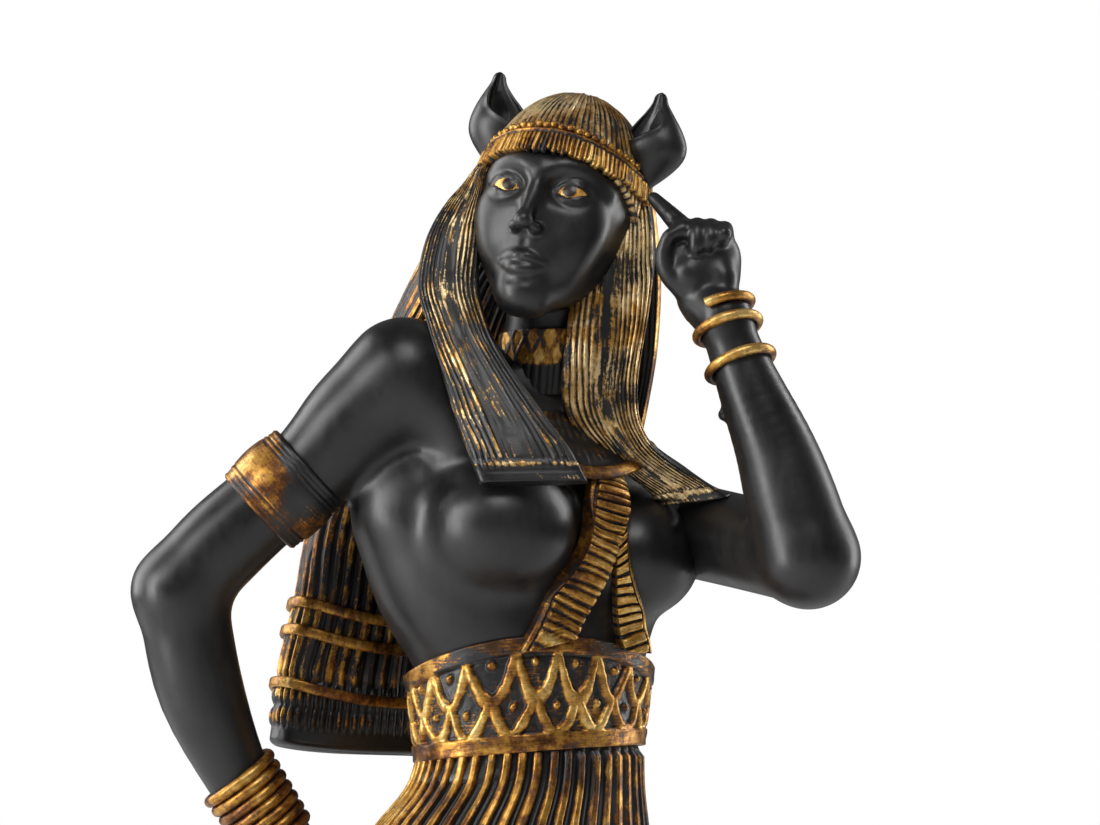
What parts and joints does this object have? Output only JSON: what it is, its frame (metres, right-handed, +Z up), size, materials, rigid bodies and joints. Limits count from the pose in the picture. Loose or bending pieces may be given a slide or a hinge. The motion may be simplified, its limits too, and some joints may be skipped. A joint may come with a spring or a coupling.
{
  "type": "bastet figurine",
  "caption": "Standing cat-eared woman in a long pleated skirt, wide belt and long wig, right hand on the hip, left hand raised to the wig, on a low stepped base.",
  "frame": {"origin": "middle of the base's underside, where the figurine rests", "axes": "+Z up along the standing figure, the chest faces -Y, the figure's right side is on -X"},
  "size_m": [0.1042, 0.0912, 0.2829],
  "materials": {
    "black_resin": "satin black paint over cast resin, with antique gold brushed over the relief",
    "antique_gold": "antique gold paint, worn to copper and black in the recesses"
  },
  "bodies": {
    "root": {"figure": "black_resin", "raised_arm": "black_resin", "base": "black_resin"}
  },
  "joints": []
}
